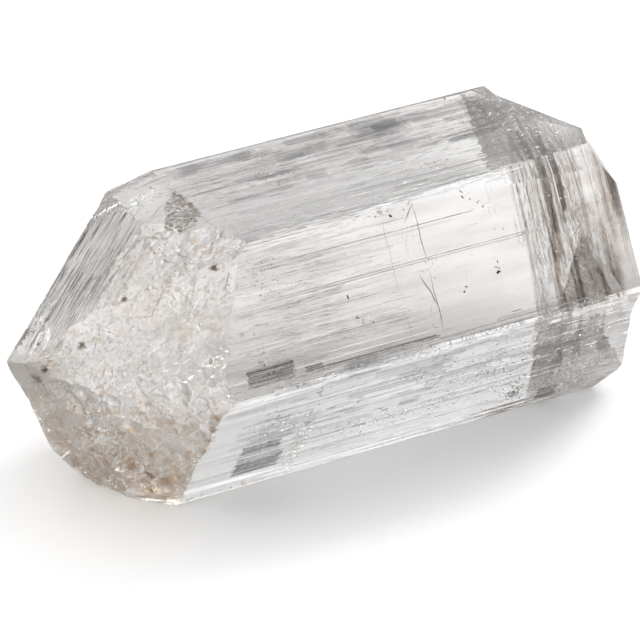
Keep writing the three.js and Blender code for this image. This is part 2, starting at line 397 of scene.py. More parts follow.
def facet_cutter(name, extent=((0, 0), (0, 0)), steps=(0, 0), relief=None):
    """The block that cuts one facet. relief(a, b) says how much deeper than flat it bites at each place.

    The highest few percent of the relief are cut flat, and it fades towards the tip of the point.
    """
    out, along, up, reach = facet_plane(name)
    lines = []
    for (low, high), step in zip(extent, steps):
        inner = np.arange(low, high + step, step) if relief else ()
        lines.append(np.concatenate(((-FAR,), inner, (FAR,))))
    grid_a, grid_b = np.meshgrid(*lines, indexing="ij")
    depth = np.zeros(grid_a.shape)
    if relief:
        depth = relief(grid_a, grid_b)
        depth = np.maximum(depth - np.percentile(depth[1:-1, 1:-1], HIGH_SPOTS), 0.0)
        if name in POINTED_END:
            tip = TIP - HEART
            away = np.hypot(grid_a - tip.dot(along), grid_b - tip.dot(up))
            depth *= TIP_RELIEF + (1 - TIP_RELIEF) * ramp(away, *TIP_CALM)
        depth[0, :] = depth[-1, :] = depth[:, 0] = depth[:, -1] = 0.0
    local = np.stack((grid_a, grid_b, reach - depth), axis=-1)
    verts = local.reshape(-1, 3) @ np.array((along, up, out)) + np.array(HEART)
    grid = np.arange(len(verts)).reshape(grid_a.shape)
    rim = np.concatenate((grid[0], grid[1:, -1], grid[-1, -2::-1], grid[-2:0:-1, 0]))
    outer = np.arange(len(rim)) + len(verts)
    verts = np.concatenate((verts, verts[rim] + np.array(out) * FAR))
    skirt = np.stack((rim, np.roll(rim, -1), np.roll(outer, -1), outer), axis=-1)
    faces = grid_faces(grid) + skirt.tolist() + [outer.tolist()]
    return closed_mesh("cut_" + name, verts, faces, ZONES.index(name))


def crystal_of(bar, cutter):
    """The pointed bar, cut off by the flat end, joined with the swelling that grew on its lower front."""
    bevels = [facet_cutter(name) for name in EDGE_BEVELS]
    pointed = boolean(bar, bevels + [cutter(name) for name in POINTED_END])
    swelling = link("swelling", pointed.data.copy())
    body = boolean(pointed, [cutter(name) for name in FLAT_END])
    swelling = boolean(swelling, [cutter(name) for name in SWELLING])
    return boolean(body, [swelling], "UNION")


def facet_extents():
    """How far each end facet spreads over its own plane, measured on a plain crystal with flat facets."""
    plain = crystal_of(prism({name: [] for name in PRISM}), facet_cutter)
    mesh = plain.data
    places = read(mesh.vertices, "co", 3)
    zone = read(mesh.attributes["zone"].data, "value").round()
    found = {}
    for name in FACETS:
        corners = [i for face in mesh.polygons if zone[face.index] == ZONES.index(name)
                   for i in face.vertices]
        if corners:
            _, along, up, _ = facet_plane(name)
            local = places[corners] - np.array(HEART)
            spread = [local @ np.array(way) for way in (along, up)]
            found[name] = [(s.min() - MARGIN, s.max() + MARGIN) for s in spread]
    bpy.data.objects.remove(plain, do_unlink=True)
    return found


RIPPLED_FROM = 1.4
RIPPLE_SHARE = 0.05


def shells(a, b, places, ripple):
    """Conchoidal bites: each place is (a, b, radius, depth), a shallow dish, rippled where it is wide."""
    depth = np.zeros(np.shape(a))
    for centre_a, centre_b, radius, bite in places:
        far = ((a - centre_a) ** 2 + (b - centre_b) ** 2) / radius ** 2
        dish = bite * (1 - far)
        if ripple and radius > RIPPLED_FROM:
            rings = np.sqrt((a - centre_a) ** 2 + (b - centre_b) ** 2) / ripple
            dish = dish + RIPPLE_SHARE * bite * np.cos(2 * np.pi * rings) * (1 - far)
        depth = np.maximum(depth, np.where(far < 1, dish, 0.0))
    return depth


def striated_relief(a, b):
    """Growth steps ruled along the facet: each is a long narrow terrace that slopes a little."""
    warp = 0.10 * soft_noise(a / 6.0, b / 1.6, 3)
    total = 0.0
    for pitch, rise, seed in ((1.15, 0.12, 6), (0.47, 0.04, 7), (0.21, 0.012, 8)):
        phase = b / pitch + warp / pitch
        step = np.floor(phase)
        lift = 0.8 + 0.2 * soft_noise(step * 1.37, a / 5.0, seed)
        total = total + rise * lift * (phase - step)
    return total


def grainy_relief(extent, seed, swell, grain, bites, bite_radius, bite_depth, ripple):
    """A rough face: broad waves, chips that are coarser in patches, flakes, fine dust and bites."""
    rng = np.random.default_rng(seed)
    places = [(rng.uniform(*extent[0]), rng.uniform(*extent[1]), log_uniform(rng, *bite_radius),
               rng.uniform(*bite_depth)) for _ in range(bites)]

    def relief(a, b):
        turned = a * 0.8 + b * 0.6
        other = b * 0.8 - a * 0.6
        waves = swell * (1 + fractal(turned / 3.2, other / 3.2, seed + 1, 3))
        rough = 0.30 + ramp(soft_noise(a / 2.4, b / 2.4, seed + 4), -0.35, 0.45)
        chips = grain * rough * (1 + plates(a / 0.62, b / 0.62, seed + 2))
        flakes = grain * 1.5 * (1 + plates(turned / 2.3, other / 1.5, seed + 6))
        dust = grain * 0.5 * (1 + soft_noise(a / 0.21, b / 0.21, seed + 3))
        return shells(a, b, places, ripple) + waves + chips + flakes + dust

    return relief


def column_relief(seed, swell, rise):
    """The etched flat end: straight-sided columns, with patches of small square-edged blocks on them."""
    def relief(a, b):
        total = swell * (1 + fractal(a / 6.0, b / 6.0, seed + 9, 2))
        for number, (pitch, share) in enumerate(((1.9, 1.0), (0.8, 0.5), (0.33, 0.12))):
            phase = (b + 0.08 * soft_noise(a / 7.0, b / 2.0, seed + number)) / pitch
            step = np.floor(phase)
            lift = 0.6 + 0.4 * soft_noise(step * 1.37, a / 6.0, seed + 5 + number)
            total = total + rise * share * lift * (phase - step)
        blocky = ramp(soft_noise(a / 3.2, b / 3.2, seed + 20), 0.15, 0.6)
        return total + blocky * rise * 0.7 * (1 + plates(a / 0.5, b / 0.4, seed + 6))

    return relief


# Grainy facets: mesh step, then seed, swell, grain, how many bites, their radius and depth, and ripple.
GRAINY = {
    "bevel": (0.30, 11, 0.01, 0.006, 6, (0.4, 1.2), (0.03, 0.08), 0.0),
    "shoulder": (0.14, 13, 0.10, 0.050, 26, (0.4, 1.8), (0.05, 0.22), 0.0),
    "frosted": (0.14, 14, 0.12, 0.030, 24, (0.5, 2.4), (0.04, 0.20), 0.0),
    "rolled": (0.14, 28, 0.10, 0.028, 20, (0.5, 2.0), (0.04, 0.18), 0.0),
    "rolled_upper": (0.14, 29, 0.08, 0.032, 14, (0.5, 1.6), (0.04, 0.14), 0.0),
    "rolled_lower": (0.14, 30, 0.08, 0.022, 14, (0.5, 1.6), (0.04, 0.14), 0.0),
    "turned_under": (0.14, 15, 0.10, 0.018, 26, (0.5, 2.4), (0.05, 0.20), 0.10),
    "fractured": (0.14, 16, 0.12, 0.048, 60, (0.5, 3.4), (0.10, 0.60), 0.12),
    "hidden_upper": (0.35, 17, 0.03, 0.010, 9, (0.5, 1.6), (0.03, 0.10), 0.0),
    "hidden_middle": (0.35, 18, 0.05, 0.020, 12, (0.6, 2.0), (0.05, 0.20), 0.0),
    "hidden_lower": (0.35, 19, 0.10, 0.030, 20, (0.6, 2.6), (0.10, 0.40), 0.0),
    "undercut": (0.35, 20, 0.10, 0.030, 20, (0.6, 2.6), (0.10, 0.40), 0.0),
}
# Etched facets of the flat end: mesh steps, then seed, swell, and the columns' rise.
COLUMNED = {
    "basal": ((0.30, 0.11), 21, 0.04, 0.006),
    "oblique": ((0.30, 0.11), 22, 0.04, 0.010),
    "lower_back": ((0.30, 0.11), 27, 0.04, 0.014),
    "ramp": ((0.30, 0.11), 23, 0.04, 0.009),
    "ramp_back": ((0.20, 0.20), 24, 0.05, 0.050),
    "ramp_foot": ((0.30, 0.30), 25, 0.04, 0.015),
    "ramp_corner": ((0.30, 0.30), 26, 0.04, 0.015),
}
extents = facet_extents()


def rough_cutter(name):
    """The block that cuts one facet with its own relief, or flat if it has none."""
    if name in GRAINY:
        step, *row = GRAINY[name]
        return facet_cutter(name, extents[name], (step, step), grainy_relief(extents[name], *row))
    if name == "striated":
        return facet_cutter(name, extents[name], (0.6, 0.055), striated_relief)
    if name in COLUMNED and name in extents:
        steps, *row = COLUMNED[name]
        return facet_cutter(name, extents[name], steps, column_relief(*row))
    return facet_cutter(name)


# ---- the crystal
# How frosted each end facet is, from 0 to 1.
FROST = dict.fromkeys(FROSTED_ZONES, 0.7) | dict.fromkeys(COLUMNED, 0.05)
FROST |= {"shoulder": 0.65, "fractured": 0.62, "bevel": 0.06, "striated": 0.06,
          "hidden_upper": 0.08, "hidden_middle": 0.12, "hidden_lower": 0.4, "undercut": 0.5}
FROSTED = 0.2
# Chips and smooth flakes where the point's frosting is broken away: facet, a, b, radius.
GLASSY = (
    ("frosted", -7.7, -6.2, 0.59), ("shoulder", -1.0, -4.0, 0.52), ("shoulder", -2.2, -4.3, 0.39),
    ("fractured", -9.2, 5.9, 0.45), ("fractured", -8.2, 5.6, 0.33), ("frosted", -4.8, -9.6, 0.20),
    ("frosted", -4.0, -8.3, 0.23), ("frosted", -3.6, -7.0, 0.20), ("frosted", -3.8, -2.9, 0.59),
    ("frosted", -2.8, -2.0, 0.45), ("frosted", 0.7, 0.6, 0.45), ("frosted", 0.4, -0.7, 0.33),
    ("fractured", -10.4, -0.4, 0.23), ("fractured", -7.3, -0.5, 0.26), ("turned_under", -3.5, 0.3, 0.39),
    ("fractured", -7.4, 3.6, 0.59), ("fractured", -6.4, 2.4, 0.52), ("fractured", -8.0, 1.2, 0.39),
    ("striated", 14.3, -5.2, 0.26), ("turned_under", -2.2, 2.8, 0.33), ("turned_under", -7.6, -4.0, 0.45),
)


def blot(u, v, centre, spread):
    """A soft patch: 1 at its centre, falling away over its spread."""
    return np.exp(-((u - centre[0]) / spread[0]) ** 2 - ((v - centre[1]) / spread[1]) ** 2)


def mark_surface(mesh, zone):
    """Per-face frosting, iron tint, and smoke film with painted shade and a painted highlight, from each
    face's zone and where it lies.
    """
    centre = read(mesh.polygons, "center", 3)
    x, y, z = centre.T
    frost = np.array([FROST.get(name, 0.0) for name in ZONES])[zone]
    iron_end = ramp(x, -8.0, -17.0) * ramp(z, 13.0, 1.0)
    cloud = 0.75 + 0.5 * fractal(x / 2.0 + 40, (y + z) / 2.0 + 40, 77, 3)
    tint = np.clip(0.25 * cloud + iron_end * 1.15 * cloud, 0, 1) * (frost > FROSTED)
    frost = np.where(zone == ZONES.index("back_lower"), 0.5 * ramp(x, 8.0, -2.0), frost)
    frosted = frost > FROSTED
    ruddy = blot(x, z, (-14.5, 17.0), (2.6, 2.0)) * frosted
    tip = ramp(x, -19.5, -22.5) * frosted
    tint = np.clip(tint + 0.45 * ruddy + 0.5 * tip, 0, 1)
    smoke_and_shade = 0.05 * frosted + 0.26 * ruddy + 0.50 * tip
    # A painted highlight: on the bevel the smoke film is lifted round this spot, so that it shows brighter.
    painted_highlight = blot(x, y, (-12.2, 3.4), (1.3, 1.4))
    # Smoke film on some faces. On the top face it grows darker towards the back edge: that part is painted
    # shade, standing in for the shaded floor seen through the top. On the front face it grows darker
    # towards the point and upwards, towards its edge with the top face.
    smoke_and_shade_films = {
        "top": 0.32 + 0.54 * ramp(y, -2.5, 1.5),
        "front": 0.52 + 0.38 * ramp(x, 5.0, -9.0) + 0.12 * ramp(z, 12.5, 18.0),
        "bevel": 0.55 * (1 - 0.95 * painted_highlight),
        "hidden_upper": 0.6,
        "striated": 0.58 + 0.60 * ramp(z, 14.0, 19.0),
    }
    for name, share in smoke_and_shade_films.items():
        smoke_and_shade = np.where(zone == ZONES.index(name), share, smoke_and_shade)
    frost = np.where((zone < len(PRISM)) & (frost < FROSTED), 0.16 * ramp(x, -10.0, -12.5), frost)
    for facet, a, b, radius in GLASSY:
        away = np.linalg.norm(centre - np.array(facet_place(facet, a, b)), axis=1)
        frost = frost * (0.08 + 0.92 * ramp(away, 0.75 * radius, 1.1 * radius))
    for name, values in (("frost", frost), ("tint", tint), ("smoke_and_shade", smoke_and_shade)):
        mark_faces(mesh, name, values)


crystal = crystal_of(prism(face_ledges()), rough_cutter)
crystal.name = "crystal_visual"
face_zones = read(crystal.data.attributes["zone"].data, "value").round().astype(int)
mark_surface(crystal.data, face_zones)
crystal.data.attributes.remove(crystal.data.attributes["zone"])
crystal.data.transform(Matrix.Translation(SHIFT))
crystal.data.transform(Matrix.Scale(MM, 4))
crystal_surface = BVHTree.FromPolygons([v.co for v in crystal.data.vertices],
                                       [tuple(face.vertices) for face in crystal.data.polygons])
crystal.data.materials.clear()


# ---- materials
class Wiring:
    """Short calls that add nodes to one material or world; each new node's output is returned."""

    def __init__(self, tree):
        self.tree = tree

    def feed(self, node, inputs):
        """Sets a node's sockets: each value is a number, a colour, or the socket that it comes from."""
        for name, value in inputs.items():
            if isinstance(value, bpy.types.NodeSocket):
                self.tree.links.new(value, node.inputs[name])
            else:
                node.inputs[name].default_value = value

    def add(self, kind, output, inputs, **settings):
        """A new node of some kind, its sockets fed and its own settings made."""
        node = self.tree.nodes.new("ShaderNode" + kind)
        for name, value in settings.items():
            setattr(node, name, value)
        self.feed(node, inputs)
        return node.outputs[output]

    def attribute(self, name):
        return self.add("Attribute", "Fac", {}, attribute_name=name)

    def place(self, kind="Object"):
        return self.add("TexCoord", kind, {})

    def stretched(self, place, scale):
        return self.add("Mapping", "Vector", {"Vector": place, "Scale": scale})

    def noise(self, place, scale, detail, roughness=0.5):
        return self.add("TexNoise", "Fac", {"Vector": place, "Scale": scale, "Detail": detail,
                                            "Roughness": roughness})

    def maths(self, operation, *values, clamp=False):
        return self.add("Math", "Value", dict(enumerate(values)), operation=operation, use_clamp=clamp)

    def remap(self, value, source, target, interpolation="LINEAR"):
        return self.add("MapRange", "Result", {"Value": value, "From Min": source[0], "From Max": source[1],
                                               "To Min": target[0], "To Max": target[1]},
                        interpolation_type=interpolation)

    def mix(self, factor, first, second):
        return self.add("Mix", "Result", {"Factor": factor, "A": first, "B": second}, data_type="RGBA")

    def bump(self, height, inputs):
        return self.add("Bump", "Normal", {"Height": height, **inputs})

    def ramp(self, value, stops):
        shade = self.add("ValToRGB", "Color", {"Fac": value})
        elements = shade.node.color_ramp.elements
        while len(elements) < len(stops):
            elements.new(0.5)
        for element, (position, colour) in zip(elements, stops):
            element.position = position
            element.color = (*colour, 1)
        return shade


def new_material(name):
    """A material, its shader node, and the wiring that feeds it."""
    material = bpy.data.materials.new(name)
    material.use_nodes = True
    return material, material.node_tree.nodes["Principled BSDF"], Wiring(material.node_tree)


BERYL_IOR = 1.58
FROST_ROUGHNESS = 0.48
CLEAN = (0.905, 0.900, 0.898, 1)
IRON_TINT = (1.0, 0.885, 0.755, 1)
# The smoke film's colour, which mark_surface also lays on as painted shade.
SMOKE_AND_SHADE = (0.50, 0.468, 0.440, 1)
FINE_CRACKS = (0.40, 0.36, 0.33, 1)
BODY_COLOUR = (0.59, 0.58, 0.575, 1)


def beryl():
    """Clear beryl. Its surface is frosted, iron-tinted, and darkened by smoke film and painted shade, where
    mark_surface says so.
    """
    material, surface, wiring = new_material("clear_beryl")
    place = wiring.place()
    frost = wiring.attribute("frost")
    tinted = wiring.mix(wiring.attribute("tint"), CLEAN, IRON_TINT)
    streaks = wiring.noise(wiring.stretched(place, (140, 900, 900)), 1.0, 5.0)
    uneven = wiring.remap(streaks, (0.3, 0.7), (0.45, 1.45))
    # How much smoke film and painted shade each face gets, streaked along the prism.
    share = wiring.maths("MULTIPLY", uneven, wiring.attribute("smoke_and_shade"), clamp=True)
    smoked_and_shaded = wiring.mix(share, tinted, SMOKE_AND_SHADE)
    wander = wiring.noise(place, 1100.0, 6.0, 0.62)
    ridge = wiring.maths("ABSOLUTE", wiring.maths("SUBTRACT", wander, 0.5))
    cracked = wiring.remap(ridge, (0.0, 0.022), (0.85, 0.0))
    crackled = wiring.mix(wiring.maths("MULTIPLY", cracked, frost), smoked_and_shaded, FINE_CRACKS)
    striae = wiring.noise(wiring.stretched(place, (90, 2600, 2600)), 1.0, 5.0)
    ruled = wiring.bump(striae, {"Strength": 0.04, "Distance": 0.0002})
    grain = wiring.noise(place, 3600.0, 5.0, 0.65)
    etched = wiring.bump(grain, {"Strength": frost, "Distance": 0.00005, "Normal": ruled})
    wiring.feed(surface, {"Transmission Weight": 1.0, "IOR": BERYL_IOR, "Base Color": crackled,
                          "Roughness": wiring.remap(frost, (0.0, 1.0), (0.0, FROST_ROUGHNESS)),
                          "Normal": etched})
    haze = wiring.add("VolumeAbsorption", "Volume", {"Color": BODY_COLOUR, "Density": 14.0})
    wiring.feed(material.node_tree.nodes["Material Output"], {"Volume": haze})
    return material


def toned(name, stops, mottle_scale, mottle_share, roughness, metallic=0.0, transmission=0.0, ior=1.4):
    """A material whose colour runs along stops with the fleck's own tone, mottled by fine noise."""
    material, surface, wiring = new_material(name)
    mottle = wiring.noise(wiring.place(), mottle_scale, 3.0)
    centred = wiring.maths("SUBTRACT", mottle, 0.5)
    both = wiring.maths("MULTIPLY_ADD", centred, mottle_share, wiring.attribute("tone"))
    wiring.feed(surface, {"Metallic": metallic, "Transmission Weight": transmission, "IOR": ior,
                          "Base Color": wiring.ramp(both, stops),
                          "Roughness": wiring.remap(mottle, (0.0, 1.0), roughness)})
    return material


crystal.data.materials.append(beryl())
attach(crystal, "root")
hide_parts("crystal")

CRACK_FILM = toned("crack_film", ((0.0, (0.95, 0.95, 0.95)), (1.0, (0.10, 0.09, 0.085))),
                   3000.0, 0.2, (0.10, 0.40), metallic=1.0)
CRAZING = toned("crazing", ((0.0, (0.98, 0.97, 0.96)), (1.0, (0.72, 0.68, 0.65))),
                4000.0, 0.3, (0.5, 0.9), transmission=1.0)
RUST = toned("rust", ((0.0, (0.88, 0.79, 0.71)), (0.3, (0.60, 0.42, 0.26)), (0.6, (0.25, 0.15, 0.08)),
                      (1.0, (0.035, 0.027, 0.022))), 2500.0, 0.25, (0.5, 0.9))
# Films so thin that they only tint what is seen through them.
THIN = {"transmission": 1.0, "ior": 1.01}
IRON_FILM = toned("iron_film", ((0.0, (0.97, 0.955, 0.94)), (0.5, (0.76, 0.725, 0.695)),
                                (1.0, (0.36, 0.33, 0.305))), 1500.0, 0.30, (0.0, 0.06), **THIN)
GREY_FILM = toned("grey_film", ((0.0, (0.97, 0.97, 0.97)), (0.5, (0.76, 0.76, 0.765)),
                                (1.0, (0.36, 0.36, 0.37))), 1500.0, 0.30, (0.0, 0.06), **THIN)
OCHRE_FILM = toned("ochre_film", ((0.0, (0.96, 0.91, 0.86)), (0.5, (0.86, 0.73, 0.61)),
                                  (1.0, (0.50, 0.34, 0.21))), 2500.0, 0.30, (0.0, 0.2),
                   transmission=1.0, ior=1.05)
OPEN_STOPS = ((0.0, (0.98, 0.98, 0.98)), (1.0, (0.22, 0.21, 0.20)))
OPEN_CHIP = toned("open_chip", OPEN_STOPS, 3000.0, 0.15, (0.15, 0.5))
# An open crack face inside clear crystal throws back nearly all the light that falls on it.
MIRROR_CHIP = toned("mirror_chip", OPEN_STOPS, 3000.0, 0.15, (0.08, 0.35), metallic=1.0)


# ---- places in and under the crystal
def prism_frame(name):
    """A prism face's first edge, its direction across, and its outward normal."""
    y, z, heading = section()[list(PRISM).index(name)]
    across = Vector((0, math.cos(heading), math.sin(heading)))
    out = Vector((0, math.sin(heading), -math.cos(heading)))
    return Vector((0, y, z)), across, out


def under(name, x, across, depth):
    """A place depth mm beneath a prism face, across mm from its first edge."""
    corner, along, out = prism_frame(name)
    return corner + along * across - out * depth + Vector((x, 0, 0))


def nearest(point):
    """The surface point nearest to a place, and the surface's own normal there."""
    spot, normal, _, _ = crystal_surface.find_nearest((point + SHIFT) * MM)
    return spot / MM - SHIFT, normal


def beneath(facet, a, b, depth):
    """A place depth mm beneath the rough surface of an end facet, at (a, b) on the facet's own axes."""
    spot, normal = nearest(facet_place(facet, a, b))
    return spot - normal * depth


def sealed(point, margin=0.03):
    """Whether a place lies inside the crystal, more than margin mm from its surface."""
    spot, normal = nearest(point)
    return (spot - point).dot(normal) > margin


def skin(rng, zones, count, depth, keep=None):
    """Random places just inside the surface over the given zones, each with the surface's normal.

    keep(spot), if given, is the share of the places near spot that are used.
    """
    data = crystal.data
    wanted = np.flatnonzero(np.isin(face_zones, [ZONES.index(name) for name in zones]))
    weights = read(data.polygons, "area")[wanted]
    chosen = rng.choice(wanted, size=count, p=weights / weights.sum())
    for number in chosen:
        face = data.polygons[int(number)]
        corners = [data.vertices[i].co for i in face.vertices]
        first, second = rng.uniform(0, 1, 2)
        if first + second > 1:
            first, second = 1 - first, 1 - second
        spot = corners[0] + (corners[1] - corners[0]) * first + (corners[2] - corners[0]) * second
        spot = spot / MM - SHIFT
        if keep is not None and rng.random() > keep(spot):
            continue
        yield spot - face.normal * rng.uniform(*depth), face.normal


# ---- small sealed bodies
FILM = 0.03
CHIP = 0.02
RIM = 6
SQUARE_RIM = ((1.0, -0.9), (1.0, 0.9), (0.0, 1.0), (-1.0, 0.9), (-1.0, -0.9), (0.0, -1.0))
THREAD_TURNS = (0.0, 2.094, 4.189)


class Flecks:
    """Many small closed bodies in one mesh: flat lenses for films, flecks and grains, and thin threads.

    A body whose middle line would come too near the surface, or whose rim would stick out, is left out.
    """

    def __init__(self, seed):
        self.rng = np.random.default_rng(seed)
        self.verts = []
        self.faces = []
        self.tones = []

    def between(self, low, high):
        return log_uniform(self.rng, low, high)

    def add(self, centre, axis, side, length, width, thick, tone, square=False):
        """One lens: axis and side are its long and short directions, tone its darkness from 0 to 1."""
        axis = Vector(axis).normalized()
        side = Vector(side)
        side = (side - axis * side.dot(axis)).normalized()
        facing = axis.cross(side)
        if not all(sealed(centre + axis * (length * part)) for part in (-0.5, 0.0, 0.5)):
            return
        spin = self.rng.uniform(-0.4, 0.4, RIM)
        swell = self.rng.uniform(0.65, 1.0, RIM)
        rim = []
        for i in range(RIM):
            angle = (i + spin[i]) * 2 * math.pi / RIM
            round_rim = (math.cos(angle) * swell[i], math.sin(angle) * swell[i])
            ahead, beside = SQUARE_RIM[i] if square else round_rim
            rim.append(centre + axis * (ahead * length / 2) + side * (beside * width / 2))
        if not all(sealed(point, 0.0) for point in rim):
            return
        first = len(self.verts)
        self.verts += rim + [centre + facing * (thick / 2), centre - facing * (thick / 2)]
        for i in range(RIM):
            following = (i + 1) % RIM
            self.faces.append((first + i, first + following, first + RIM))
            self.faces.append((first + following, first + i, first + RIM + 1))
        self.tones += [tone] * (2 * RIM)

    def lay(self, centre, facing, length, width, tone, lean):
        """One lens that lies roughly across facing, turned at random and leaning by about lean."""
        one = facing.cross(Vector((0.13, 0.41, 0.90))).normalized()
        other = facing.cross(one)
        turn = self.rng.uniform(0, 2 * math.pi)
        axis = one * math.cos(turn) + other * math.sin(turn) + facing * self.rng.normal(0, lean)
        side = other * math.cos(turn) - one * math.sin(turn) + facing * self.rng.normal(0, lean)
        self.add(centre, axis, side, length, width, CHIP, tone)

    def chip(self, centre, facing, size, shape, tone, lean):
        """One such lens of a random size, its width the given share of its length."""
        length = self.between(*size)
        self.lay(centre, facing, length, length * self.rng.uniform(*shape), self.rng.uniform(*tone), lean)

    def strew(self, places, length, width, tone, lean):
        """One such lens at each of the places, which come with the way they face."""
        for centre, facing in places:
            self.lay(centre, facing, self.between(*length), self.between(*width),
                     self.rng.uniform(*tone), lean)

    def thread(self, points, radius, tone):
        """A thin three-sided thread through points, pinched off at both ends."""
        if not all(sealed(point) for point in points):
            return
        first = len(self.verts)
        last = len(points) - 1
        for number, point in enumerate(points):
            ahead = (points[min(number + 1, last)] - points[max(number - 1, 0)]).normalized()
            one = ahead.cross(Vector((0.31, 0.52, 0.79))).normalized()
            other = ahead.cross(one)
            size = radius * (0.35 if number in (0, last) else self.rng.uniform(0.7, 1.15))
            for turn in THREAD_TURNS:
                self.verts.append(point + (one * math.cos(turn) + other * math.sin(turn)) * size)
        for number in range(last):
            base = first + 3 * number
            for i in range(3):
                j = (i + 1) % 3
                self.faces.append((base + i, base + j, base + 3 + j, base + 3 + i))
        tail = first + 3 * last
        self.faces += [(first + 2, first + 1, first), (tail, tail + 1, tail + 2)]
        self.tones += [tone] * (3 * last + 2)

    def piece(self, name, slot, material):
        """All the bodies as one piece of the visual model."""
        mesh = bpy.data.meshes.new(name)
        places = (np.array(self.verts) + np.array(SHIFT)) * MM
        mesh.from_pydata([tuple(v) for v in places], [], self.faces)
        mark_faces(mesh, "tone", self.tones)
        mesh.materials.append(material)
        made = link(name, mesh)
        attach(made, "root")


# ---- films and tubes along the prism
# Sets beneath each prism face: how many, where along X and across, how deep, their length, width and tone.
AXIAL_SETS = {
    "top": (
        (2000, (-10, 21), (0.2, 7.0), (0.1, 1.6), (0.4, 3.0), (0.025, 0.05), (0.4, 0.9)),
        (600, (-11, 21), (6.5, 12.4), (0.1, 1.6), (0.4, 3.0), (0.025, 0.05), (0.2, 0.7)),
        (60, (-8, 20), (0.3, 6.5), (0.1, 1.4), (0.6, 4.5), (0.05, 0.12), (0.5, 1.0)),
        (30, (-9, 20), (5.5, 11.5), (0.1, 1.4), (0.5, 3.5), (0.04, 0.10), (0.3, 0.9)),
        (60, (-9, 20), (0.3, 12.0), (0.1, 1.0), (0.3, 1.4), (0.04, 0.10), (0.0, 0.1)),
    ),
    "lower_front": (
        (300, (-9, 20), (0.3, 13.0), (0.1, 1.6), (0.5, 3.5), (0.03, 0.07), (0.4, 0.9)),
        (70, (-9, 20), (0.3, 11.0), (0.1, 1.4), (0.5, 3.0), (0.05, 0.2), (0.5, 1.0)),
        (130, (-9, 20), (0.3, 13.5), (0.1, 1.0), (0.3, 1.6), (0.05, 0.2), (0.0, 0.1)),
    ),
    "front": (
        (420, (-10, -2), (0.5, 10.5), (0.2, 2.4), (0.6, 3.0), (0.015, 0.03), (0.2, 0.6)),
        (260, (-8, 3), (0.5, 10.5), (0.2, 2.4), (0.6, 4.0), (0.015, 0.03), (0.2, 0.6)),
        (60, (-2, 13), (0.5, 10.5), (0.2, 2.4), (0.5, 3.0), (0.01, 0.025), (0.2, 0.6)),
    ),
}
PANE_SETS = {
    "top": (
        (150, (-9, 20), (0.0, 6.5), (0.2, 1.6), (1.5, 9.0), (0.15, 1.0), (0.10, 0.60)),
        (30, (-9, 20), (6.5, 11.5), (0.2, 1.6), (1.5, 9.0), (0.10, 0.6), (0.05, 0.35)),
        (14, (6.8, 10.2), (0.4, 3.4), (0.4, 0.7), (2.0, 3.2), (0.8, 1.6), (0.30, 0.50)),
    ),
    "lower_front": (
        (110, (-9, 20), (0.2, 8.5), (0.2, 1.6), (1.5, 9.0), (0.15, 1.0), (0.10, 0.50)),
    ),
    "front": (
        (60, (-10, 2), (0.4, 10.6), (0.2, 2.4), (2.0, 9.0), (0.06, 0.4), (0.05, 0.25)),
    ),
}
# The way most small open cracks beneath each face lie, by the direction they face.
LYING = {"top": Vector((-0.26, -0.48, 0.84)), "front": Vector((-0.14, -0.60, 0.785)),
         "lower_front": Vector((-0.05, -0.72, 0.69))}


def film_places(rng, sets):
    """Each film's place, the direction across its face, its outward normal, length, width and tone."""
    for face, rows in sets.items():
        _, along, out = prism_frame(face)
        for count, x, across, depth, *size_and_tone in rows:
            for _ in range(count):
                centre = under(face, rng.uniform(*x), rng.uniform(*across), rng.uniform(*depth))
                yield centre, along, out, *size_and_tone


def lengthwise(rng, stray):
    """A direction along the prism, off it by about stray."""
    return 1.0, rng.normal(0, stray), rng.normal(0, stray)


def axial_streaks(films, rng):
    """Growth tubes and films that run along the prism just beneath its faces."""
    for centre, along, out, length, width, tone in film_places(rng, AXIAL_SETS):
        tilt = rng.uniform(-0.5, 0.5)
        films.add(centre, lengthwise(rng, 0.012), along * math.cos(tilt) + out * math.sin(tilt),
                  films.between(*length), rng.uniform(*width), FILM, rng.uniform(*tone))


def painted_light_band(films, rng):
    """Thin bright cracks lying side by side under the top face, thickest along its front edge: a painted
    light band, standing in for the bright band that light makes along that edge.
    """
    flat_side = LYING["top"].cross(Vector((1, 0, 0)))
    for _ in range(300):
        across = 13.0 - abs(rng.normal(0, 1.1))
        centre = under("top", rng.uniform(-9.5, 15.0), across, rng.uniform(0.08, 0.6))
        axis = lengthwise(rng, 0.012)
        side = flat_side + LYING["top"] * rng.normal(0, 0.2)
        films.add(centre, axis, side, films.between(0.8, 4.5), films.between(0.03, 0.13), CHIP,
                  rng.uniform(0.0, 0.15))


def clear_panes(panes, rng):
    """Broad smooth films along the prism, too thin to hide what lies behind them."""
    for centre, along, out, length, width, tone in film_places(rng, PANE_SETS):
        panes.add(centre, lengthwise(rng, 0.006), along + out * rng.uniform(-0.2, 0.2),
                  panes.between(*length), panes.between(*width), FILM, rng.uniform(*tone), square=True)


# Dark panels: the face they lie under, (x, across) ranges, depth, and how many strips make each.
PANELS = (
    ("lower_front", (-9.7, -6.4), (8.1, 9.5), 0.5, 9),
    ("lower_front", (-9.8, -5.9), (9.9, 12.2), 0.5, 14),
    ("front", (-11.0, -7.2), (9.1, 10.4), 0.6, 9),
    ("front", (-6.3, -4.9), (9.9, 10.4), 0.6, 4),
    ("lower_front", (16.9, 18.6), (12.2, 14.0), 0.5, 12),
    ("front", (-4.6, 4.6), (10.15, 10.45), 0.4, 3),
    ("front", (4.0, 17.6), (10.45, 10.55), 0.4, 1),
    ("front", (4.0, 17.6), (10.75, 10.83), 0.4, 1),
)


